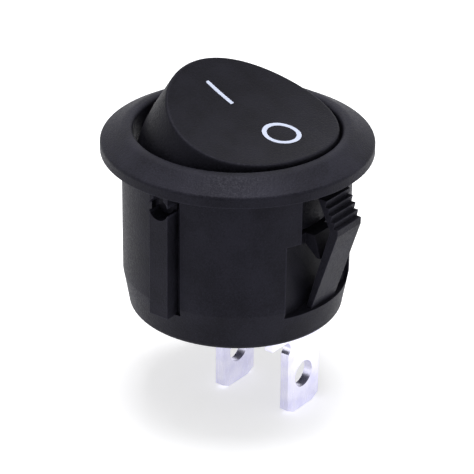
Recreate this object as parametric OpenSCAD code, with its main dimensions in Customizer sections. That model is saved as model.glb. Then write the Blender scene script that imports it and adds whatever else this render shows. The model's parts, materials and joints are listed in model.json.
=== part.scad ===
// Round snap-in panel rocker switch, single pole, on-off, with two tab terminals.
// Millimetres. The origin is the centre of the flange's underside, which is the panel face.
// +Z points out of the panel, along the body. The rocker turns about X and tips along Y:
// its O end is at -Y and its I end at +Y. The rocker is modelled with the O end pressed.

/* [Flange] */
// Diameter of the flange in front of the panel
flange_d = 23; // [21.5:0.5:26]
// Height of the flange above the panel
flange_h = 2; // [1.6:0.1:2.6]
// Height of the flange's upright rim
rim_h = 1; // [0.6:0.05:1.1]
// Radius of the rim's top edge
rim_r = 0.3; // [0.1:0.05:0.5]
// Radius of the crown between the rim's slope and the flat land
crown_r = 1.2; // [0.8:0.1:1.4]
// Width of the flat land around the opening
land_w = 0.1; // [0.05:0.05:0.3]
// Diameter of the opening that the rocker stands in
opening_d = 17.5; // [16.8:0.1:18]
// Radius of the opening's top edge
lip_r = 0.35; // [0.2:0.05:0.5]

/* [Body] */
// Diameter of the body behind the panel
body_d = 19.4; // [18.9:0.1:20]
// Depth of the body behind the panel
body_depth = 14.4; // [13.8:0.1:18]
// Thickness of the floor that the terminals pass through
floor_t = 1.2; // [0.8:0.1:1.4]
// Height of the tapered foot of the body
foot_h = 3.4; // [1.5:0.1:4]
// How far the foot tapers in on each side
foot_taper = 0.55; // [0.1:0.05:0.6]
// Radius of the body's bottom edge
foot_edge_r = 0.6; // [0.2:0.1:0.8]
// Thickness of the walls behind the pockets
inner_wall = 0.65; // [0.5:0.05:0.8]

/* [Side ribs] */
// Distance across the outer faces of the two ribs
rib_across = 21.1; // [20.6:0.1:22]
// Width of a rib
rib_w = 1.9; // [1.6:0.1:3]
// Depth of the ribs behind the panel
rib_depth = 11.6; // [8:0.1:12]
// Width of the groove on each side of a rib
groove_w = 0.5; // [0.3:0.05:0.7]
// Depth of these grooves in the body's side
groove_cut = 0.6; // [0.3:0.05:0.6]
// Width of the slot that cores a pivot hole out upwards
keyhole_w = 1; // [0.6:0.1:1.4]

/* [Pockets] */
// Width of the window above the sill of a pocket
window_w = 6.4; // [5.4:0.1:7]
// Width of the pocket below its sill
pocket_w = 8.9; // [8:0.1:9.4]
// Depth of the sill behind the panel
sill_depth = 4.9; // [4.8:0.1:5.6]
// Depth of the pocket's floor behind the panel
pocket_depth = 11.6; // [10.5:0.1:12]
// Distance from the axis to the back of a pocket
pocket_back = 8.15; // [8.1:0.05:8.3]

/* [Snap wings] */
// Width of a wing
wing_w = 3.3; // [2.4:0.1:4]
// Distance from the axis to a wing's widest point
wing_reach = 11.6; // [11:0.02:11.8]
// Depth of the widest point behind the panel
wing_peak_depth = 3.5; // [3:0.1:4.2]
// Height of the upright land below the widest point
wing_land = 0.6; // [0.2:0.1:1]
// How far a wing's outer face stands inside the body's side at the pocket floor
wing_inset = 0.55; // [0.45:0.05:0.65]
// Thickness of a wing at its root
wing_root_t = 0.52; // [0.4:0.02:0.56]
// Thickness of a wing at its widest point
wing_peak_t = 0.76; // [0.6:0.02:1]
// Distance from the axis to a wing's toothed end
wing_tip = 10.43; // [10.1:0.01:10.6]
// Thickness of a wing at its toothed end
wing_tip_t = 0.85; // [0.6:0.05:1]
// Depth of the toothed end behind the panel
wing_tip_depth = 1.2; // [0.8:0.1:1.6]
// Number of steps that catch the panel's edge
teeth = 4; // [3:1:6]
// How far each step is undercut
tooth_undercut = 0.12; // [0:0.02:0.2]
// Width of the tongue that stops a wing from being pushed in too far
stop_w = 2.6; // [2:0.1:3.2]
// Thickness of that tongue at its lower end
stop_t = 0.35; // [0.3:0.05:0.6]
// How far the tongue stands out at the sill
stop_out = 0.9; // [0.4:0.05:1]
// Distance from the axis to the tongue's lower end
stop_reach = 9.7; // [9.4:0.1:9.8]
// Depth of the tongue's lower end behind the panel
stop_depth = 6.9; // [6.4:0.1:7.2]

/* [Rocker] */
// Angle that the rocker tilts to each side
tilt = 16; // [10:1:16]
// Depth of the pivot axis behind the panel
pivot_depth = 1.7; // [1.6:0.05:2]
// Gap between the rocker's skirt and the opening
rocker_gap = 0.15; // [0.12:0.01:0.4]
// Height of the rocker's face above the pivot at its middle
face_h = 5; // [4.6:0.1:5.6]
// Radius of the hollow of the rocker's face
face_r = 22; // [18:0.1:40]
// Thickness of the rocker's shell
shell_t = 1.1; // [0.8:0.1:1.4]
// How far the skirt reaches below the pivot
skirt_drop = 0.6; // [0.3:0.1:0.7]
// Diameter of the trunnions that the rocker turns on
trunnion_d = 1.9; // [1.5:0.1:2.1]
// How far the trunnions stop short of the ribs' outer faces
trunnion_recess = 1.1; // [0.4:0.1:1.2]
// Radial running clearance of the trunnions and the plunger
running_gap = 0.05; // [0.03:0.01:0.08]
// Diameter of the stem under the rocker
stem_d = 3.8; // [3.6:0.1:4.2]
// How far the stem reaches below the pivot
stem_drop = 4.9; // [4.5:0.1:5]

/* [Plunger and spring] */
// Diameter of the plunger
plunger_d = 2.5; // [2.2:0.1:2.6]
// Length of the plunger's guided part
plunger_guide = 2.3; // [1.8:0.1:2.6]
// Diameter of the plunger's rounded nose
nose_d = 1.7; // [1.4:0.1:1.72]
// Distance from the pivot to the centre of the nose
nose_drop = 5.8; // [5.7:0.02:5.82]
// Depth of the spring's seat above the pivot
spring_seat = 1.6; // [1:0.1:2]
// Diameter of the spring wire
wire_d = 0.3; // [0.2:0.02:0.34]
// Number of turns of the spring
spring_turns = 7; // [5:1:9]

/* [Contact arm] */
// Depth of the arm's fulcrum behind the panel
fulcrum_depth = 9.3; // [9.28:0.02:9.5]
// Angle that the arm rocks to each side
arm_tilt = 6.5; // [4:0.5:6.5]
// Angle that each half of the arm rises
arm_rise = 10; // [9:0.5:10.5]
// Length of each half of the arm
arm_half = 7.1; // [6.4:0.1:7.3]
// Width of the arm
arm_w = 3.2; // [2.6:0.1:3.4]
// Thickness of the arm
arm_t = 0.6; // [0.4:0.02:0.6]
// Depth of the groove under the arm that sits on the fulcrum
arm_groove = 0.2; // [0.1:0.05:0.25]
// Distance from the fulcrum to the contacts
contact_reach = 6.2; // [5.6:0.1:6.2]
// Diameter of the contact rivets' heads
contact_d = 2.2; // [1.8:0.1:2.3]
// Height of the contact rivets' heads
contact_h = 0.5; // [0.3:0.05:0.6]
// Gap left between the closed contacts
contact_gap = 0.1; // [0.08:0.01:0.2]

/* [Terminals] */
// Width of a tab
tab_w = 4.4; // [4:0.1:5]
// Thickness of the terminals' sheet
tab_t = 0.8; // [0.6:0.05:0.8]
// Depth of the tabs' tips behind the panel
tab_depth = 22.4; // [20:0.1:24]
// Diameter of the hole in a tab
tab_hole_d = 2.4; // [1.4:0.1:2.6]
// Distance from a tab's tip to the centre of its hole
tab_hole_up = 3.2; // [2.4:0.1:3.6]
// Length of the slanted corners at a tab's tip
tab_corner = 0.85; // [0.4:0.05:1.1]
// Height of the slanted corners at a tab's tip
tab_corner_h = 0.46; // [0.2:0.02:0.7]
// Distance from the axis to the middle of the switched terminal
switched_y = 6.95; // [6.8:0.01:6.98]
// Width of the terminals inside the body
shoulder_w = 6.4; // [5.8:0.1:6.8]
// Gap around a terminal in the floor
slot_gap = 0.03; // [0.01:0.01:0.06]
// How far the switched terminal's outer shoulder stands out to the side
ear_w = 2.3; // [1:0.1:2.5]
// How far that shoulder shows below the body
ear_drop = 0.8; // [0.6:0.1:1.4]
// Radius of the relief notch under that shoulder
notch_r = 0.7; // [0.4:0.05:0.9]

/* [Hidden] */
$fn = 96;
over = 1;                                         // how far a cutter runs past a face
curve_steps = 8;                                  // straight steps in a drawn quarter arc

// Housing
flange_r = flange_d / 2;
opening_r = opening_d / 2;
rim_centre = [flange_r - rim_r, rim_h - rim_r];
crown_centre = [opening_r + lip_r + land_w, flange_h - crown_r];
crown_step = crown_centre - rim_centre;
// direction that the slope faces, which touches the rim's edge and the crown
slope_way = (360 + atan2(crown_step[1], crown_step[0])) % 360
            - acos((rim_r - crown_r) / norm(crown_step));
body_r = body_d / 2;
body_draft = 0.05;                                // how much the body narrows down to its foot
foot_r = body_r - foot_taper;
wing_root = body_r - wing_inset;                  // a wing's outer face at the pocket floor
root_sink = 0.5;                                  // how far a wing's root runs into the pocket's floor
root_lean = 0.15;                                 // how far it leans in on that stretch
stop_root = 0.9;                                  // height of the tongue's root on the wall
weld = 0.1;                                       // overlap of two shapes of one moulding
floor_top = floor_t - body_depth;
rib_x = rib_across / 2;
inner_face = pocket_back - inner_wall;            // inner face of the wall behind a pocket
trunnion_r = trunnion_d / 2;
pivot_hole_r = trunnion_r + running_gap;

// Rocker, in its own frame: origin on the pivot, tilted only when it is placed
skirt_r = opening_r - rocker_gap;
skirt_top = 1.5 * face_h;                         // the skirt is drawn up to here, then cut by the face
cone_out = rocker_gap / 3;                        // how far the cone stands outside the ball
cone_foot = 0.5;                                  // height of the step between the ball and the cone
web_t = 1.1;                                      // webs that join the stem to the trunnions
boss_r = trunnion_r + 0.65;
boss_l = 0.9;                                     // how far the trunnions' bosses reach inside the shell
trunnion_chamfer = 0.2;
nose_r = nose_d / 2;
guide_low = 0.5 - nose_drop;                      // lower end of the plunger's guided part
guide_top = guide_low + plunger_guide;
plunger_pin_r = plunger_d / 5;                    // pin on the plunger that centres the spring
plunger_pin_h = 0.7;
coil_r = plunger_d / 2 - wire_d;
closed_pitch = wire_d * 1.06;                     // pitch of the spring's close-wound end turns
coil_play = 0.02;                                 // gap between the spring's ends and what they press on
trunnion_end = rib_x - trunnion_recess;

// Arm, in its own frame: origin on the fulcrum's axis, tilted only when it is placed
fulcrum_r = tab_t / 2 - 0.05;
arm_groove_r = fulcrum_r + running_gap;
arm_under = arm_groove_r - arm_groove;            // height of the arm's underside at its middle
contact_face_y = contact_reach * cos(arm_rise) + contact_h * sin(arm_rise);
contact_face_z = arm_under + contact_reach * sin(arm_rise) - contact_h * cos(arm_rise);
fixed_y = contact_face_y * cos(arm_tilt) + contact_face_z * sin(arm_tilt);
fixed_top = contact_face_z * cos(arm_tilt) - contact_face_y * sin(arm_tilt) - contact_gap
            - fulcrum_depth;
seat_top = fixed_top - contact_h;                 // top of the switched terminal's seat
seat_inner = fixed_y - contact_d / 2 - 0.1;       // the seat reaches just past the contact
shank_r = contact_d / 4;
rivet_edge = 0.6 * contact_h;                     // height of the upright edge of a rivet's head
rivet_bevel = 0.3 * contact_h;
rivet_dome = 0.1 * contact_h;                     // how far the head falls from its middle to the bevel
rest_y = contact_reach - 0.8;                     // middle of the moulded rest under the arm's other end
rest_l = 1.6;
rest_gap = 0.15;
horn_h = 1.2;                                     // horns beside the fulcrum that keep the arm in place
horn_gap = 0.1;                                   // gap between the arm's side and a horn
cradle = 0.06;                                    // how far the fulcrum's bar sinks into the sheet
notch_out = 0.6 * notch_r;                        // how far the relief notch is centred outside the tab
bend_r = 1.1 * tab_t;                             // outer radius of the switched terminal's bend

// Points of an arc about c, from angle a to angle b
function arc(c, r, a, b, n = curve_steps) =
    [for (i = [0:n]) c + r * [cos(a + (b - a) * i / n), sin(a + (b - a) * i / n)]];

module pivot_place() translate([0, 0, -pivot_depth]) rotate([tilt, 0, 0]) children();
module arm_place() translate([0, 0, -fulcrum_depth]) rotate([-arm_tilt, 0, 0]) children();

// A box from its lowest to its highest corner
module span(low, high) translate(low) cube(high - low);

// An outline drawn as [y, z] points, made w wide across X
module across(w) rotate([90, 0, 90]) translate([0, 0, -w / 2]) linear_extrude(w) children();

// ---- Housing: one moulding of flange, body, side ribs and snap wings ----

// Flange and body as one turned solid
module body_turned() rotate_extrude() polygon(concat(
    [[0, -body_depth]],
    arc([foot_r - foot_edge_r, foot_edge_r - body_depth], foot_edge_r, -90, 0),
    [[body_r - body_draft, foot_h - body_depth], [body_r, 0], [flange_r, 0]],
    arc(rim_centre, rim_r, 0, slope_way),
    arc(crown_centre, crown_r, slope_way, 90),
    arc([opening_r + lip_r, flange_h - lip_r], lip_r, 90, 180),
    [[opening_r, 0], [0, 0]]));

module side_ribs() for (s = [0, 1]) mirror([s, 0, 0])
    span([opening_r, -rib_w / 2, -rib_depth], [rib_x, rib_w / 2, 0]);

// The two grooves along a rib, which keep the thick rib from sinking in
module rib_grooves() for (s = [0, 1]) mirror([0, s, 0])
    span([body_r - groove_cut, rib_w / 2, -rib_depth], [rib_x + over, rib_w / 2 + groove_w, 0]);

// Everything inside: round above the sills, with a flat wall behind each pocket below them
module cavity() {
    translate([0, 0, -sill_depth]) cylinder(r = opening_r, h = sill_depth + flange_h + over);
    difference() {
        translate([0, 0, floor_top]) cylinder(r = opening_r, h = -sill_depth - floor_top + weld);
        for (s = [-1, 1])
            span([-pocket_w / 2 - inner_wall, s > 0 ? inner_face : -body_r, floor_top - over],
                 [pocket_w / 2 + inner_wall, s > 0 ? body_r : -inner_face, -sill_depth]);
    }
}

// The hollow on one side that a snap wing flexes into
module pocket() {
    span([-pocket_w / 2, pocket_back, -pocket_depth], [pocket_w / 2, body_r + over, -sill_depth]);
    span([-window_w / 2, inner_face, -sill_depth], [window_w / 2, body_r + over, 0]);
}

// Pivot hole through a rib, with the slot that cores it out upwards
module pivot_hole() {
    translate([0, 0, -pivot_depth]) rotate([0, 90, 0]) cylinder(r = pivot_hole_r, h = rib_x + over);
    span([body_r - groove_cut, -keyhole_w / 2, -pivot_depth], [rib_x + over, keyhole_w / 2, 0]);
}

// Tongue hung from a pocket's sill, which stops a wing from being pushed in too far
module wing_stop() across(stop_w) polygon([
    [pocket_back - weld, -sill_depth - stop_root], [pocket_back - weld, -sill_depth],
    [pocket_back + stop_out, -sill_depth], [stop_reach, -stop_depth], [stop_reach - stop_t, -stop_depth]]);

// Outer edge of the steps, from a wing's end down to its widest point
function wing_steps() = let (
        out = (wing_reach - wing_tip) / teeth,
        down = (wing_peak_depth - wing_tip_depth) / teeth)
    [for (i = [0:teeth - 1]) each [
        [wing_tip + i * out, -wing_tip_depth - i * down],
        [wing_tip + i * out - tooth_undercut, -wing_tip_depth - (i + 1) * down]]];

// A flexing wing, thin at its root on the pocket's floor and toothed at its free end
module snap_wing() across(wing_w) polygon(concat(
    [[wing_root - wing_root_t - root_lean, -pocket_depth - root_sink],
     [wing_root - wing_root_t, -pocket_depth],
     [wing_reach - wing_peak_t, -wing_peak_depth - wing_land / 2],
     [wing_tip - wing_tip_t, -wing_tip_depth]],
    wing_steps(),
    [[wing_reach, -wing_peak_depth], [wing_reach, -wing_peak_depth - wing_land],
     [wing_root, -pocket_depth], [wing_root - root_lean, -pocket_depth - root_sink]]));

// Block on the floor that carries the switched terminal's seat
module terminal_block()
    span([-shoulder_w / 2, -inner_face - weld, floor_top - weld],
         [shoulder_w / 2, -seat_inner, seat_top - tab_t]);

// Rest for the free end of the arm when the switch is off
module arm_rest() {
    rest_z = arm_under * cos(arm_tilt) + rest_y * tan(arm_rise - arm_tilt) - rest_gap - fulcrum_depth;
    difference() {
        span([-arm_w / 2, rest_y - rest_l / 2, floor_top - weld],
             [arm_w / 2, rest_y + rest_l / 2, rest_z + over]);
        translate([0, rest_y, rest_z]) rotate([arm_rise - arm_tilt, 0, 0])
            span([-arm_w, -2 * rest_l, 0], [arm_w, 2 * rest_l, 2 * rest_l]);
    }
}

module housing() color([0.06, 0.06, 0.07]) {
    difference() {
        union() {
            difference() {
                union() {
                    body_turned();
                    side_ribs();
                }
                cavity();
                pocket();
                mirror([0, 1, 0]) pocket();
                for (s = [0, 1]) mirror([s, 0, 0]) {
                    pivot_hole();
                    rib_grooves();
                }
            }
            terminal_block();
            arm_rest();
            for (s = [0, 1]) mirror([0, s, 0]) {
                snap_wing();
                wing_stop();
            }
        }
        // slots for the two terminals
        span([-tab_w / 2 - slot_gap, -tab_t / 2 - slot_gap, -body_depth - over],
             [tab_w / 2 + slot_gap, tab_t / 2 + slot_gap, floor_top + over]);
        span([-tab_w / 2 - ear_w - slot_gap, -switched_y - tab_t / 2 - slot_gap, -body_depth - over],
             [tab_w / 2 + slot_gap, -switched_y + tab_t / 2 + slot_gap, floor_top]);
        span([-tab_w / 2 - slot_gap, -switched_y - tab_t / 2 - slot_gap, floor_top - over],
             [tab_w / 2 + slot_gap, -switched_y + tab_t / 2 + slot_gap, seat_top + over]);
    }
}

// ---- Rocker: hollow button, stem and trunnions in one moulding ----

// Radius at the height z of a cone that stands upright in the opening when it is pressed,
// and that stays r away from the pivot
function cone_r(r, z) = r / cos(tilt) - z * tan(tilt);

// A turned solid inside the rocker's outline, t below its skin and down to the height low:
// a ball about the pivot, then that cone
module skirt_turned(t, low) let (
        r = skirt_r - t,
        foot = r * sin(tilt) + cone_foot)
    rotate_extrude() polygon(concat(
        [[0, low], [sqrt(pow(r, 2) - pow(skirt_drop, 2)), low]],
        arc([0, 0], r, -asin(skirt_drop / r), tilt),
        [for (z = [foot, skirt_top]) [cone_r(r + cone_out, z), z]],
        [[0, skirt_top]]));

// Everything above the hollow face, or above a surface t below it
module above_face(t) translate([0, 0, face_h + face_r]) rotate([0, 90, 0])
    cylinder(r = face_r + t, h = flange_d, center = true, $fn = 180);

// A round bar along X on the pivot axis, with a chamfer c at its outer end
module pivot_bar(r, from, to, c = 0) rotate([0, 90, 0]) rotate_extrude()
    polygon([[0, from], [r, from], [r, to - c], [r - c, to], [0, to]]);

module rocker() color([0.07, 0.07, 0.08]) pivot_place() difference() {
    union() {
        difference() {
            skirt_turned(0, -skirt_drop);
            difference() {
                skirt_turned(shell_t, -skirt_drop - over);
                above_face(shell_t);
            }
        }
        translate([0, 0, -stem_drop]) cylinder(d = stem_d, h = stem_drop + face_h - shell_t / 2);
        intersection() {
            span([-skirt_r, -web_t / 2, -skirt_drop], [skirt_r, web_t / 2, face_h]);
            skirt_turned(shell_t / 2, -skirt_drop);
        }
        for (s = [0, 1]) mirror([s, 0, 0]) {
            pivot_bar(boss_r, skirt_r - shell_t - boss_l, skirt_r - trunnion_chamfer);
            pivot_bar(trunnion_r, skirt_r - shell_t, trunnion_end, trunnion_chamfer);
        }
    }
    above_face(0);
    translate([0, 0, -stem_drop - over])
        cylinder(r = plunger_d / 2 + running_gap, h = stem_drop + over + spring_seat);
}

// ---- Plunger and its spring, carried in the rocker's stem ----

module plunger() color([0.86, 0.84, 0.78]) pivot_place() rotate_extrude() polygon(concat(
    arc([0, -nose_drop], nose_r, -90, 0),
    [[plunger_d / 2, guide_low], [plunger_d / 2, guide_top], [plunger_pin_r, guide_top],
     [plunger_pin_r, guide_top + plunger_pin_h], [0, guide_top + plunger_pin_h]]));

// Height of the spring's wire at turn n, close-wound over the first and the last turn
function coil_z(n) = let (
        low = guide_top + wire_d / 2 + coil_play,
        high = spring_seat - wire_d / 2 - coil_play,
        open_pitch = (high - low - 2 * closed_pitch) / (spring_turns - 2))
    n < 1 ? low + n * closed_pitch
    : n > spring_turns - 1 ? high - (spring_turns - n) * closed_pitch
    : low + closed_pitch + (n - 1) * open_pitch;

module plunger_spring() color([0.72, 0.73, 0.75]) pivot_place() {
    sides = 8;
    rings = spring_turns * 18;
    points = [for (i = [0:rings], k = [0:sides - 1]) let (
            turn = i * spring_turns / rings,
            r = coil_r + wire_d / 2 * cos(360 * k / sides))
        [r * cos(360 * turn), r * sin(360 * turn), coil_z(turn) + wire_d / 2 * sin(360 * k / sides)]];
    walls = [for (i = [0:rings - 1], k = [0:sides - 1]) let (n = (k + 1) % sides)
        [i * sides + k, i * sides + n, (i + 1) * sides + n, (i + 1) * sides + k]];
    polyhedron(points, concat(walls,
        [[for (k = [sides - 1:-1:0]) k], [for (k = [0:sides - 1]) rings * sides + k]]));
}

// ---- Contact arm: a bent strip that rocks on the common terminal ----

// A place on the arm's contact half: the strip's underside is z = 0, the contact is at the origin
module contact_place() translate([0, 0, arm_under]) rotate([-arm_rise, 0, 0])
    translate([0, -contact_reach, 0]) children();

module contact_arm() color([0.78, 0.48, 0.3]) arm_place() difference() {
    across(arm_w) polygon([
        [0, arm_under],
        [arm_half * cos(arm_rise), arm_under + arm_half * sin(arm_rise)],
        [arm_half * cos(arm_rise) - arm_t * sin(arm_rise),
         arm_under + arm_half * sin(arm_rise) + arm_t * cos(arm_rise)],
        [0, arm_under + arm_t / cos(arm_rise)],
        [arm_t * sin(arm_rise) - arm_half * cos(arm_rise),
         arm_under + arm_half * sin(arm_rise) + arm_t * cos(arm_rise)],
        [-arm_half * cos(arm_rise), arm_under + arm_half * sin(arm_rise)]]);
    rotate([0, 90, 0]) cylinder(r = arm_groove_r, h = arm_w + over, center = true);
    contact_place() translate([0, 0, -over]) cylinder(r = shank_r, h = arm_t + 2 * over);
}

// Rivet standing on z = 0: a slightly domed head above, its shank through a strip t below
module rivet(t) rotate_extrude() polygon([
    [0, -t], [shank_r, -t], [shank_r, 0], [contact_d / 2, 0], [contact_d / 2, rivet_edge],
    [contact_d / 2 - rivet_bevel, contact_h - rivet_dome], [contact_d / 4, contact_h], [0, contact_h]]);

module moving_contact() color([0.85, 0.85, 0.84]) arm_place() contact_place()
    rotate([180, 0, 0]) rivet(arm_t);

module fixed_contact() color([0.85, 0.85, 0.84]) translate([0, -fixed_y, seat_top]) rivet(tab_t);

// ---- Terminals: stamped tabs ----

// A flat plate across the body, drawn as [x, z] points, with its middle plane at y
module plate(y) translate([0, y + tab_t / 2, 0]) rotate([90, 0, 0]) linear_extrude(tab_t) children();

// Outline of a tab from its tip up to the floor's top
module tab_outline() polygon([
    [-tab_w / 2, tab_corner_h - tab_depth], [tab_corner - tab_w / 2, -tab_depth],
    [tab_w / 2 - tab_corner, -tab_depth], [tab_w / 2, tab_corner_h - tab_depth],
    [tab_w / 2, floor_top], [-tab_w / 2, floor_top]]);

module tab_hole(y) translate([0, y + tab_t / 2 + over, tab_hole_up - tab_depth]) rotate([90, 0, 0])
    cylinder(d = tab_hole_d, h = tab_t + 2 * over);

module common_terminal() color([0.8, 0.8, 0.82]) difference() {
    union() {
        plate(0) tab_outline();
        plate(0) difference() {
            translate([-shoulder_w / 2, floor_top])
                square([shoulder_w, horn_h - fulcrum_depth - floor_top]);
            translate([-arm_w / 2 - horn_gap, -fulcrum_depth - cradle])
                square([arm_w + 2 * horn_gap, 2 * horn_h]);
        }
        translate([0, 0, -fulcrum_depth]) rotate([0, 90, 0])
            cylinder(r = fulcrum_r, h = arm_w + 3 * horn_gap, center = true);
    }
    tab_hole(0);
}

module switched_terminal() color([0.8, 0.8, 0.82]) difference() {
    union() {
        plate(-switched_y) difference() {
            union() {
                tab_outline();
                translate([-tab_w / 2 - ear_w, -body_depth - ear_drop])
                    square([ear_w + 1, ear_drop + floor_t]);
            }
            translate([-tab_w / 2 - notch_out, -body_depth - ear_drop - notch_r]) circle(r = notch_r);
        }
        across(tab_w) polygon(concat(
            [[tab_t / 2 - switched_y, floor_top - weld], [tab_t / 2 - switched_y, seat_top - tab_t],
             [-seat_inner, seat_top - tab_t], [-seat_inner, seat_top]],
            arc([bend_r - tab_t / 2 - switched_y, seat_top - bend_r], bend_r, 90, 180, 6),
            [[-switched_y - tab_t / 2, floor_top - weld]]));
    }
    tab_hole(-switched_y);
    translate([0, -fixed_y, seat_top - tab_t - over]) cylinder(r = shank_r, h = tab_t + 2 * over);
}

housing();
rocker();
plunger();
plunger_spring();
contact_arm();
moving_contact();
fixed_contact();
common_terminal();
switched_terminal();
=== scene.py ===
"""Round panel rocker switch: moulded rocker, printed marks, softened edges, finishes, camera and light.

All lengths are metres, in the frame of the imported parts: the origin is the centre of the flange's
underside, +Z points out of the panel, and the rocker turns about X and tips along Y.
"""

import json
import math

import bpy
import numpy as np
from mathutils import Matrix, Vector


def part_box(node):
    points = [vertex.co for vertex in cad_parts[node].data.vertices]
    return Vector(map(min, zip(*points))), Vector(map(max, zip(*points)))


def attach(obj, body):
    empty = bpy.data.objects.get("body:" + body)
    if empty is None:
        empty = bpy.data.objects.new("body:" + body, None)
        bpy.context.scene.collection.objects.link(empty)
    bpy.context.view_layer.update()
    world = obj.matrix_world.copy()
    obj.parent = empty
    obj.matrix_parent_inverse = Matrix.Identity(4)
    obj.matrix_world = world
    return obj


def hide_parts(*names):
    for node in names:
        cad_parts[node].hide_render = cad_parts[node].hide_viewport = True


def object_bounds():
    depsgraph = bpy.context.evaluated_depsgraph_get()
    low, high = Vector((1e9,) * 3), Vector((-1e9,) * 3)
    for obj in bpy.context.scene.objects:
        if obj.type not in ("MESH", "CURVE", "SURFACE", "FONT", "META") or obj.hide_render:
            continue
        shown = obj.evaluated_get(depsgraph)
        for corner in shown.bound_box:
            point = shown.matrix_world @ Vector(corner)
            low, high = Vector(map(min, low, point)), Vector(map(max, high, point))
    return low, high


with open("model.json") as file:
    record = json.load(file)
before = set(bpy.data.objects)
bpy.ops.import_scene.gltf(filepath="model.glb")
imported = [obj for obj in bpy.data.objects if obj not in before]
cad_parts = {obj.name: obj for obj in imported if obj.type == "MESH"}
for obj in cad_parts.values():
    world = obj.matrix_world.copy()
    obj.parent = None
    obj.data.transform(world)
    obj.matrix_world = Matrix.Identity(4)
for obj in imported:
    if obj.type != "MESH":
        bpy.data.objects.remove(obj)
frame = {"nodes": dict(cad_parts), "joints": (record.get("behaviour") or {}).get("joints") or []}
cad_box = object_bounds()
MM = 0.001
WHITE = [1, 1, 1, 1]
BLACK = [0, 0, 0, 1]

# ---- Node sheets: shader maths written as Python expressions ----


class Signal:
    """A shader socket that takes part in Python arithmetic; each operation adds a Math node."""

    def __init__(self, sheet, socket):
        self.sheet = sheet
        self.socket = socket

    def _math(self, operation, *values):
        return self.sheet.node("ShaderNodeMath", {"operation": operation}, dict(enumerate(values)))

    def __add__(self, other):
        return self._math("ADD", self, other)

    def __sub__(self, other):
        return self._math("SUBTRACT", self, other)

    def __rsub__(self, other):
        return self._math("SUBTRACT", other, self)

    def __mul__(self, other):
        return self._math("MULTIPLY", self, other)

    __radd__ = __add__
    __rmul__ = __mul__

    def ramp(self, low, high, to_low=0.0, to_high=1.0):
        """A smooth step: to_low below low, to_high above high."""
        return self.sheet.node(
            "ShaderNodeMapRange",
            {"interpolation_type": "SMOOTHSTEP"},
            {"Value": self, "From Min": low, "From Max": high, "To Min": to_low, "To Max": to_high},
        )


class Sheet:
    """A node tree under construction."""

    def __init__(self, tree):
        self.tree = tree

    def node(self, kind, settings=None, sockets=None, out=0):
        """Adds a node, sets its settings, then its sockets from values or signals."""
        node = self.tree.nodes.new(kind)
        for key, value in (settings or {}).items():
            setattr(node, key, value)
        for key, value in (sockets or {}).items():
            if isinstance(value, Signal):
                self.tree.links.new(value.socket, node.inputs[key])
            else:
                node.inputs[key].default_value = value
        return Signal(self, node.outputs[out])

    def seen_directly(self):
        """1 where a ray from the camera, a mirror or a clear piece looks straight at the surface."""
        rays = [
            self.node("ShaderNodeLightPath", out=ray)
            for ray in ("Is Camera Ray", "Is Glossy Ray", "Is Transmission Ray")
        ]
        return rays[0] + rays[1] + rays[2]


class Finish(Sheet):
    """One material, with its Principled shader."""

    COLOUR_A, COLOUR_B, COLOUR_OUT = 6, 7, 2    # the colour sockets of a Mix node
    RAYS = 6                                    # samples of the edge nodes

    def __init__(self, name, **constants):
        self.material = bpy.data.materials.new(name)
        self.material.use_nodes = True
        super().__init__(self.material.node_tree)
        self.shader = self.tree.nodes["Principled BSDF"]
        for socket, value in constants.items():
            self.shader.inputs[socket.replace("_", " ")].default_value = value
        self.place = self.node("ShaderNodeTexCoord", out="Object")

    def noise(self, size, detail=2.0, rough=0.5, stretch=(1, 1, 1)):
        """Noise whose features measure about size metres, stretched along each axis."""
        place = self.node(
            "ShaderNodeMapping", {}, {"Vector": self.place, "Scale": [1 / (size * s) for s in stretch]}
        )
        return self.node(
            "ShaderNodeTexNoise", {}, {"Vector": place, "Scale": 1.0, "Detail": detail, "Roughness": rough}
        )

    def mix(self, factor, low, high):
        """A colour between low and high."""
        return self.node(
            "ShaderNodeMix",
            {"data_type": "RGBA"},
            {"Factor": factor, self.COLOUR_A: low, self.COLOUR_B: high},
            out=self.COLOUR_OUT,
        )

    def outer_edge(self, reach):
        """High near outward edges, where rays inside the piece soon meet its surface again."""
        clear = self.node(
            "ShaderNodeAmbientOcclusion",
            {"samples": self.RAYS, "inside": True, "only_local": True},
            {"Distance": reach},
            out="AO",
        )
        return 1 - clear

    def feed(self, **signals):
        """Links signals to the shader's sockets, such as Base_Color or Roughness."""
        for socket, signal in signals.items():
            self.tree.links.new(signal.socket, self.shader.inputs[socket.replace("_", " ")])

    def relief(self, height, depth, round_radius=0.0):
        """A bump that is depth metres high, on edges that look rounded by round_radius."""
        bump = {"Height": height, "Distance": depth, "Strength": 1.0}
        if round_radius:
            rays = {"samples": self.RAYS}
            bump["Normal"] = self.node("ShaderNodeBevel", rays, {"Radius": round_radius})
        self.feed(Normal=self.node("ShaderNodeBump", {}, bump))


def grey(value, tint=(1.0, 1.0, 1.0)):
    """An RGBA colour from a brightness and a tint."""
    return [value * t for t in tint] + [1.0]


# ---- Finishes ----

NYLON_TINT = (1.0, 0.98, 1.4)       # the slight violet cast of its colour
NYLON_SHEEN = (0.8, 0.78, 1.0, 1)   # and of its reflections
NYLON_CLOUD = 3 * MM                # size of the soft patches in its colour
NYLON_ROUND = 0.07 * MM             # how far a moulded edge looks rounded
DARK_PATCH, LIGHT_PATCH = 0.5, 1.8  # brightness of the patches, with the body's as 1
FLECK_WEAR_AND_HIGHLIGHT = 6.0                        # and of flecks, and of edges lightened partly by wear and partly as a painted highlight
FLECK_SIZE = 0.35                   # size of a fleck, with the grain's as 1
FLECK_SHOW = 0.4                    # how strongly a fleck shows


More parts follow.
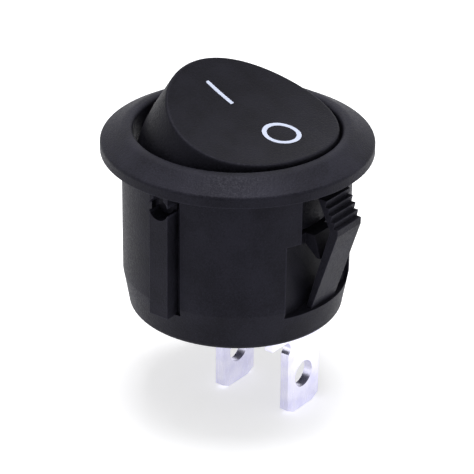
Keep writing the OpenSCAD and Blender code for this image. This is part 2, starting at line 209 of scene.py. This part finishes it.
def moulded_nylon(name, body, rough, gloss, grain, grain_depth, wear_and_highlight, wear_and_highlight_reach):
    """Black moulded nylon: cloudy colour, fine spark texture, edges painted a little lighter, partly as
    wear and partly as a painted highlight.
    """
    finish = Finish(name, Specular_IOR_Level=gloss, Specular_Tint=NYLON_SHEEN)
    clouds = finish.noise(NYLON_CLOUD, detail=3)
    speck = finish.noise(grain, detail=2, rough=0.6)
    flecks = finish.noise(FLECK_SIZE * grain, detail=1).ramp(0.62, 0.74)
    # Convex edges are painted lighter: partly wear, partly a painted highlight along them.
    edge_wear_and_highlight = finish.outer_edge(wear_and_highlight_reach).ramp(0.12, 0.55)
    tone = ((clouds + speck) * 0.5).ramp(0.35, 0.65)
    base = finish.mix(tone, grey(body * DARK_PATCH, NYLON_TINT), grey(body * LIGHT_PATCH, NYLON_TINT))
    # Flecks and the edges' wear and painted highlight take the lighter colour.
    base = finish.mix(flecks * FLECK_SHOW + edge_wear_and_highlight * wear_and_highlight, base, grey(body * FLECK_WEAR_AND_HIGHLIGHT, NYLON_TINT))
    finish.feed(
        Base_Color=base,
        Roughness=speck.ramp(0.3, 0.7, to_low=rough - 0.1, to_high=rough + 0.08) + clouds * 0.06,
    )
    finish.relief(speck, grain_depth, round_radius=NYLON_ROUND)
    return finish.material


def plated_strip(name, bright, dull, rough):
    """Silver-plated sheet: rolling marks, a faint tarnish and softened sheared edges."""
    finish = Finish(name, Metallic=1.0)
    tarnish = finish.noise(1.6 * MM, detail=4)
    rolled = finish.noise(0.05 * MM, detail=2, stretch=(1, 1, 30))
    finish.feed(
        Base_Color=finish.mix(tarnish.ramp(0.35, 0.75), bright, dull),
        Roughness=rolled.ramp(0.2, 0.8, to_low=rough - 0.05, to_high=rough + 0.08),
    )
    finish.relief(rolled + tarnish * 2, 0.004 * MM, round_radius=0.06 * MM)
    return finish.material


def plain_metal(name, bright, dull, rough, grain, stretch=(1, 1, 1)):
    """Bare metal with a directional grain and a patchy lustre."""
    finish = Finish(name, Metallic=1.0)
    patch = finish.noise(0.9 * MM, detail=3)
    drawn = finish.noise(grain, detail=2, stretch=stretch)
    finish.feed(
        Base_Color=finish.mix(patch.ramp(0.35, 0.7), bright, dull),
        Roughness=drawn.ramp(0.2, 0.8, to_low=rough - 0.05, to_high=rough + 0.08),
    )
    finish.relief(drawn, 0.003 * MM, round_radius=0.04 * MM)
    return finish.material


def acetal(name, milky, shaded):
    """Natural acetal: milky, a little translucent at the surface, faintly turned."""
    finish = Finish(name, Specular_IOR_Level=0.5, Subsurface_Weight=0.2, Subsurface_Scale=0.4 * MM)
    clouds = finish.noise(0.8 * MM, detail=3)
    turning = finish.noise(0.06 * MM, detail=1, stretch=(20, 20, 1))
    finish.feed(
        Base_Color=finish.mix(clouds, milky, shaded),
        Roughness=turning.ramp(0.2, 0.8, to_low=0.3, to_high=0.42),
    )
    finish.relief(turning, 0.002 * MM, round_radius=0.05 * MM)
    return finish.material


def marking_ink(name, thin, full):
    """Pad-printed white ink: slightly cool, with thin spots and a dry surface."""
    finish = Finish(name, Specular_IOR_Level=0.4)
    cover = finish.noise(0.12 * MM, detail=3)
    finish.feed(
        Base_Color=finish.mix(cover.ramp(0.3, 0.75), thin, full),
        Roughness=cover.ramp(0.2, 0.8, to_low=0.5, to_high=0.65),
    )
    finish.relief(cover, 0.003 * MM)
    return finish.material


housing_nylon = moulded_nylon(
    "housing_nylon", body=0.009, rough=0.52, gloss=0.13,
    grain=0.17 * MM, grain_depth=0.026 * MM, wear_and_highlight=0.3, wear_and_highlight_reach=0.15 * MM,
)
rocker_nylon = moulded_nylon(
    "rocker_nylon", body=0.005, rough=0.5, gloss=0.09,
    # Stronger, wider edge light on the rocker: wear plus a painted highlight along its rim.
    grain=0.17 * MM, grain_depth=0.035 * MM, wear_and_highlight=0.8, wear_and_highlight_reach=0.35 * MM,
)
terminal_silver = plated_strip(
    "terminal_silver", bright=[0.84, 0.83, 0.98, 1], dull=[0.72, 0.71, 0.92, 1], rough=0.3
)
arm_copper = plain_metal(
    "arm_copper", bright=[0.8, 0.5, 0.32, 1], dull=[0.66, 0.38, 0.24, 1],
    rough=0.3, grain=0.05 * MM, stretch=(1, 30, 1),
)
contact_silver = plain_metal(
    "contact_silver", bright=[0.87, 0.87, 0.85, 1], dull=[0.78, 0.78, 0.76, 1],
    rough=0.22, grain=0.08 * MM,
)
spring_steel = plain_metal(
    "spring_steel", bright=[0.6, 0.61, 0.63, 1], dull=[0.45, 0.46, 0.48, 1],
    rough=0.28, grain=0.05 * MM,
)
plunger_acetal = acetal("plunger_acetal", milky=[0.82, 0.8, 0.72, 1], shaded=[0.76, 0.73, 0.64, 1])
white_ink = marking_ink("white_ink", thin=[0.53, 0.58, 0.73, 1], full=[0.6, 0.64, 0.79, 1])

finishes = {
    "housing": housing_nylon,
    "rocker": rocker_nylon,
    "plunger": plunger_acetal,
    "plunger_spring": spring_steel,
    "contact_arm": arm_copper,
    "moving_contact": contact_silver,
    "fixed_contact": contact_silver,
    "common_terminal": terminal_silver,
    "switched_terminal": terminal_silver,
}
for node, finish in finishes.items():
    slots = frame["nodes"][node].data.materials
    slots.clear()
    slots.append(finish)

# ---- Surfaces: rings of points worked out as whole arrays ----


def skin(rings, poles=None):
    """Vertices and faces of a closed surface from rings of points, an array (rows, columns, 3).

    Quads join each ring to the next. Two poles close the first and the last ring; without
    poles the last ring joins the first. Rings that turn anticlockwise about an axis and run
    from its tip outwards and down give faces that point outwards.
    """
    rows, columns = rings.shape[:2]
    here = np.arange(rows * columns).reshape(rows, columns)
    if poles is None:
        here = np.vstack([here, here[:1]])
    beside = np.roll(here, -1, axis=1)
    quads = np.stack([here[:-1], here[1:], beside[1:], beside[:-1]], axis=-1).reshape(-1, 4)
    vertices = rings.reshape(-1, 3)
    faces = quads.tolist()
    if poles is not None:
        first, last = rows * columns, rows * columns + 1
        faces += [(first, a, b) for a, b in zip(here[0].tolist(), beside[0].tolist())]
        faces += [(a, last, b) for a, b in zip(here[-1].tolist(), beside[-1].tolist())]
        vertices = np.vstack([vertices, poles])
    return vertices, faces


def turned(profile, columns=64):
    """A solid turned about Z from (radius, height) points that start and end on the axis."""
    radius, height = np.array(profile[1:-1]).T
    angle = np.linspace(0, 2 * np.pi, columns, endpoint=False)
    rings = np.stack([
        np.outer(radius, np.cos(angle)),
        np.outer(radius, np.sin(angle)),
        np.outer(height, np.ones_like(angle)),
    ], axis=-1)
    return skin(rings, poles=[(0, 0, profile[0][1]), (0, 0, profile[-1][1])])


def plate(outline, low, high):
    """A flat plate: an outline of (x, z) points, in order from +X to +Z, carried along Y."""
    x, z = np.array(outline).T
    near = np.arange(len(x))
    far = near + len(x)
    vertices = np.vstack([np.stack([x, np.full_like(x, y), z], axis=-1) for y in (low, high)])
    sides = np.stack([near, far, np.roll(far, -1), np.roll(near, -1)], axis=-1)
    return vertices, [near.tolist(), far[::-1].tolist()] + sides.tolist()


def piece(name, parts, finish, body, sharp=math.radians(35)):
    """One object from (vertices, faces) parts, shaded smooth below the angle sharp."""
    vertices, faces = [], []
    for part_vertices, part_faces in parts:
        start = sum(len(v) for v in vertices)
        vertices.append(part_vertices)
        faces += [tuple(start + i for i in face) for face in part_faces]
    mesh = bpy.data.meshes.new(name)
    mesh.from_pydata(np.vstack(vertices).tolist(), [], faces)
    mesh.shade_smooth()
    mesh.set_sharp_from_angle(angle=sharp)
    mesh.materials.append(finish)
    made = bpy.data.objects.new(name, mesh)
    bpy.context.scene.collection.objects.link(made)
    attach(made, body)
    return made


# ---- Rocker: hollow button with rounded rim, stem, web and trunnions ----

hinge = next(joint for joint in frame["joints"] if joint["name"] == "rocker_tilt")
PIVOT_Z = hinge["pos_m"][2]
TILT = math.radians(hinge["range_deg"][1] / 2)      # the part rests with its O end pressed
FACE_H = 5.0 * MM                   # face above the pivot, at its middle
FACE_R = 22.0 * MM                  # radius of the face's hollow
BALL_R = 8.6 * MM                   # skirt below the cone, about the pivot
CONE_REACH = 8.65 * MM              # distance of the cone from the pivot
CONE_FOOT = 0.5 * MM                # how far above the ball's first row the cone ends
SHELL_T = 1.1 * MM                  # wall of the button
SKIRT_DROP = 0.6 * MM               # how far the skirt reaches below the pivot
RIM_ROUND = 0.25 * MM               # length of the rim's rounding on each side of the edge
RIM_STEPS = 30                      # enough for the rim's radius to settle
STEM_R = 1.9 * MM
STEM_DROP = 4.9 * MM                # how far the stem reaches below the pivot
BORE_R = 1.3 * MM                   # bore of the stem, which guides the plunger
BORE_TOP = 1.6 * MM
TRUNNION_R = 0.95 * MM
TRUNNION_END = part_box("rocker")[1][0]
BOSS_R = 1.6 * MM                   # boss that joins a trunnion to the wall
BOSS_DEPTH = 0.9 * MM               # how far the boss reaches in from the wall
WEB_T = 1.1 * MM


def face_height(y, under=0.0):
    """Height of the hollow face, a cylinder about X, or of a surface that lies under it."""
    return FACE_H + FACE_R - np.sqrt((FACE_R + under) ** 2 - y**2)


def cone_radius(height, inset=0.0):
    """Radius of the skirt's cone, which stands upright in the opening when it is pressed."""
    return (CONE_REACH - inset) / math.cos(TILT) - height * math.tan(TILT)


def rim_radius(angle, inset=0.0):
    """Radius where the cone meets the face, found by stepping from one to the other."""
    radius = np.full_like(angle, CONE_REACH)
    for _ in range(RIM_STEPS):
        radius = cone_radius(face_height(radius * np.sin(angle), inset), inset)
    return radius


def tilted(points):
    """From the rocker's own frame, level on its pivot, to its place at rest."""
    x, y, z = np.moveaxis(np.asarray(points), -1, 0)
    return np.stack([
        x,
        y * math.cos(TILT) - z * math.sin(TILT),
        y * math.sin(TILT) + z * math.cos(TILT) + PIVOT_Z,
    ], axis=-1)


def skirt_rows(angle, inset, top_height, count=8):
    """(radius, height) rows down the cone from top_height, then down the ball to the lower edge."""
    ball = BALL_R - inset
    foot = ball * math.sin(TILT) + CONE_FOOT
    level = np.ones_like(angle)
    rows = []
    for step in np.linspace(0, 1, count):
        height = top_height + (foot - top_height) * step
        rows.append((cone_radius(height, inset), height))
    for turn in np.linspace(TILT, -math.asin(SKIRT_DROP / ball), count):
        rows.append((ball * math.cos(turn) * level, ball * math.sin(turn) * level))
    return rows


def rocker_shell(columns=240, face_rows=14, rim_rows=8, ceiling_rows=8):
    """The button's shell as rings about Z: across the face, over the rim along a quadratic
    Bezier curve, down the skirt, under its edge and back up inside to the ceiling's middle."""
    angle = np.linspace(0, 2 * np.pi, columns, endpoint=False)
    rim = rim_radius(angle)
    rim_z = face_height(rim * np.sin(angle))
    slope = rim * np.sin(angle) ** 2 / np.sqrt(FACE_R**2 - (rim * np.sin(angle)) ** 2)
    inner = rim - RIM_ROUND / np.sqrt(1 + slope**2)
    inner_z = face_height(inner * np.sin(angle))
    outer = rim + RIM_ROUND * math.sin(TILT)
    outer_z = rim_z - RIM_ROUND * math.cos(TILT)
    rows = [
        (inner * s, face_height(inner * s * np.sin(angle))) for s in np.linspace(0.08, 0.98, face_rows)
    ]
    for t in np.linspace(0, 1, rim_rows, endpoint=False):
        rows.append((
            (1 - t) ** 2 * inner + 2 * t * (1 - t) * rim + t**2 * outer,
            (1 - t) ** 2 * inner_z + 2 * t * (1 - t) * rim_z + t**2 * outer_z,
        ))
    rows += skirt_rows(angle, 0.0, outer_z)
    ceiling = rim_radius(angle, SHELL_T)
    ceiling_z = face_height(ceiling * np.sin(angle), SHELL_T)
    rows += skirt_rows(angle, SHELL_T, ceiling_z)[::-1]
    rows += [
        (ceiling * s, face_height(ceiling * s * np.sin(angle), SHELL_T))
        for s in np.linspace(0.95, 0.1, ceiling_rows)
    ]
    radius, height = np.moveaxis(np.array(rows), 1, 0)
    rings = np.stack([radius * np.cos(angle), radius * np.sin(angle), height], axis=-1)
    return skin(rings, poles=[(0, 0, FACE_H), (0, 0, FACE_H - SHELL_T)])


def stem():
    """The plunger's guide under the middle of the button, bored from below."""
    top = FACE_H - SHELL_T / 2
    edge = 0.15 * MM
    return turned([
        (0, top), (STEM_R, top), (STEM_R, edge - STEM_DROP), (STEM_R - edge, -STEM_DROP),
        (BORE_R + edge, -STEM_DROP), (BORE_R, edge - STEM_DROP), (BORE_R, BORE_TOP), (0, BORE_TOP),
    ])


def trunnion(side):
    """A trunnion and its boss, turned about X, on the side +1 or -1."""
    wall = BALL_R - SHELL_T
    edge = 0.2 * MM
    vertices, faces = turned([
        (0, TRUNNION_END), (TRUNNION_R - edge, TRUNNION_END), (TRUNNION_R, TRUNNION_END - edge),
        (TRUNNION_R, BALL_R - edge), (BOSS_R, BALL_R - edge), (BOSS_R, wall - BOSS_DEPTH),
        (0, wall - BOSS_DEPTH),
    ])
    return vertices[:, [2, 0, 1]] * (side, side, 1), faces


def web():
    """The plate that joins the stem to the skirt under both trunnions."""
    low, high = -SKIRT_DROP, FACE_H - SHELL_T / 2
    wide, narrow = BALL_R - SHELL_T / 2, cone_radius(high, SHELL_T / 2)
    return plate([(-wide, low), (wide, low), (narrow, high), (-narrow, high)], -WEB_T / 2, WEB_T / 2)


level_parts = [rocker_shell(), stem(), trunnion(1), trunnion(-1), web()]
button = piece("rocker_button", [(tilted(v), f) for v, f in level_parts], rocker_nylon, "rocker")
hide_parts("rocker")

# ---- Marks: white I and O printed on the rocker's face ----

INK_T = 0.02 * MM                   # how far the print stands proud of the face
INK_SINK = 0.03 * MM                # how far its underside lies inside the face
EDGE_RISE = 0.4 * INK_T             # height of the print's outer edge
EDGE_W = 0.03 * MM                  # width of the ring's rounded edges
STROKE = 0.4 * MM                   # width of both marks' lines
BAR_POWER = 12                      # of the bar's superellipse: the higher, the squarer


def printed(x, y, rise):
    """Points on the rocker's face, raised by rise along Z and tilted to the rocker's rest."""
    return tilted(np.stack([x, y, face_height(y) + rise], axis=-1))


def mark_i(middle=(0.06 * MM, 3.58 * MM), length=2.95 * MM, columns=96):
    """A bar along Y: a superellipse whose rings go from the middle of its top out over the
    rounded edge and back in under it."""
    angle = np.linspace(0, 2 * np.pi, columns, endpoint=False)
    x = STROKE / 2 * np.sign(np.cos(angle)) * np.abs(np.cos(angle)) ** (2 / BAR_POWER)
    y = length / 2 * np.sign(np.sin(angle)) * np.abs(np.sin(angle)) ** (2 / BAR_POWER)
    spread = np.array([0.3, 0.7, 0.93, 1.0, 1.0, 0.5])[:, None]
    rise = np.array([INK_T, INK_T, INK_T, EDGE_RISE, -INK_SINK, -INK_SINK])[:, None]
    rings = printed(middle[0] + x * spread, middle[1] + y * spread, rise)
    poles = [printed(*np.array(middle), height) for height in (INK_T, -INK_SINK)]
    return skin(rings, poles=poles)


def mark_o(middle=(0.2 * MM, -3.07 * MM), outer=1.64 * MM, columns=128):
    """A ring: a flat section with rounded edges, from its inner top edge out and back under,
    carried round a circle."""
    angle = np.linspace(0, 2 * np.pi, columns, endpoint=False)
    inner = outer - STROKE
    radius = np.array([inner, inner + EDGE_W, outer - EDGE_W, outer, outer, inner])[:, None]
    rise = np.array([EDGE_RISE, INK_T, INK_T, EDGE_RISE, -INK_SINK, -INK_SINK])[:, None]
    x = middle[0] + radius * np.cos(angle)
    y = middle[1] + radius * np.sin(angle)
    return skin(printed(x, y, rise))


piece("mark_i", [mark_i()], white_ink, "rocker")
piece("mark_o", [mark_o()], white_ink, "rocker")

# ---- Camera, floor and light ----

HEADING = math.radians(-52.78)      # the camera stands towards -X and -Y
HEIGHT = math.radians(27.4)         # and looks down by this much
ROLL = math.radians(0.70)
DISTANCE = 237.46 * MM
LENS = 212.3                        # on a 36 mm sensor
AIM = Vector((0, 0, -8.48 * MM))
AIM_SIDE = 0.045 * MM               # how far to the right of AIM the picture's middle lies

level_away = Vector((math.sin(HEADING), -math.cos(HEADING), 0))
away = level_away * math.cos(HEIGHT) + Vector((0, 0, math.sin(HEIGHT)))
level_right = Vector((math.cos(HEADING), math.sin(HEADING), 0))
level_up = away.cross(level_right)
right = level_right * math.cos(ROLL) + level_up * math.sin(ROLL)
up = level_up * math.cos(ROLL) - level_right * math.sin(ROLL)

camera = bpy.data.objects.new("camera", bpy.data.cameras.new("camera"))
bpy.context.scene.collection.objects.link(camera)
camera.data.lens = LENS
camera.data.clip_start = 0.01
camera.data.clip_end = 10
camera.matrix_world = Matrix.Translation(AIM + right * AIM_SIDE + away * DISTANCE) @ (
    Matrix((right, up, away)).transposed().to_4x4()
)
bpy.context.scene.camera = camera


def pale_floor(height, size):
    """A level floor that reaches size metres each way: white to the eye, and grey in a shadow."""
    corners = [(x * size, y * size, height) for x, y in ((-1, -1), (1, -1), (1, 1), (-1, 1))]
    mesh = bpy.data.meshes.new("floor")
    mesh.from_pydata(corners, [], [(0, 1, 2, 3)])
    floor = bpy.data.objects.new("floor", mesh)
    bpy.context.scene.collection.objects.link(floor)
    finish = Finish(
        "pale_floor", Base_Color=[0.8, 0.8, 0.82, 1], Roughness=0.7, Specular_IOR_Level=0.2,
        Emission_Strength=0.58,
    )
    finish.feed(Emission_Color=finish.mix(finish.seen_directly(), BLACK, WHITE))
    mesh.materials.append(finish.material)


def soft_world(level):
    """A plain world: white wherever it is seen directly or in a reflection, an even grey for light."""
    world = bpy.data.worlds.new("soft_world")
    bpy.context.scene.world = world
    world.use_nodes = True
    sheet = Sheet(world.node_tree)
    direct = sheet.seen_directly()
    strength = direct + (1 - direct) * level
    background = sheet.tree.nodes["Background"]
    background.inputs["Color"].default_value = WHITE
    sheet.tree.links.new(strength.socket, background.inputs["Strength"])


def softbox(name, direction, distance, size, power):
    """A square lamp at distance from the object's middle, facing it."""
    lamp = bpy.data.lights.new(name, "AREA")
    lamp.size = size
    lamp.energy = power
    place = Vector(direction).normalized()
    holder = bpy.data.objects.new(name, lamp)
    facing = place.to_track_quat("Z", "Y").to_matrix().to_4x4()
    holder.matrix_world = Matrix.Translation(AIM + place * distance) @ facing
    bpy.context.scene.collection.objects.link(holder)


pale_floor(height=cad_box[0][2], size=2.0)
soft_world(level=0.35)
softbox("top_light", direction=(0.08, 0.06, 1.0), distance=0.30, size=0.13, power=0.85)
softbox("left_light", direction=(-1.0, 0.5, 0.35), distance=0.35, size=0.2, power=0.03)
softbox("front_light", direction=(0.4, -1.0, 0.0), distance=0.35, size=0.16, power=0.12)

bpy.context.scene.view_settings.view_transform = "Standard"
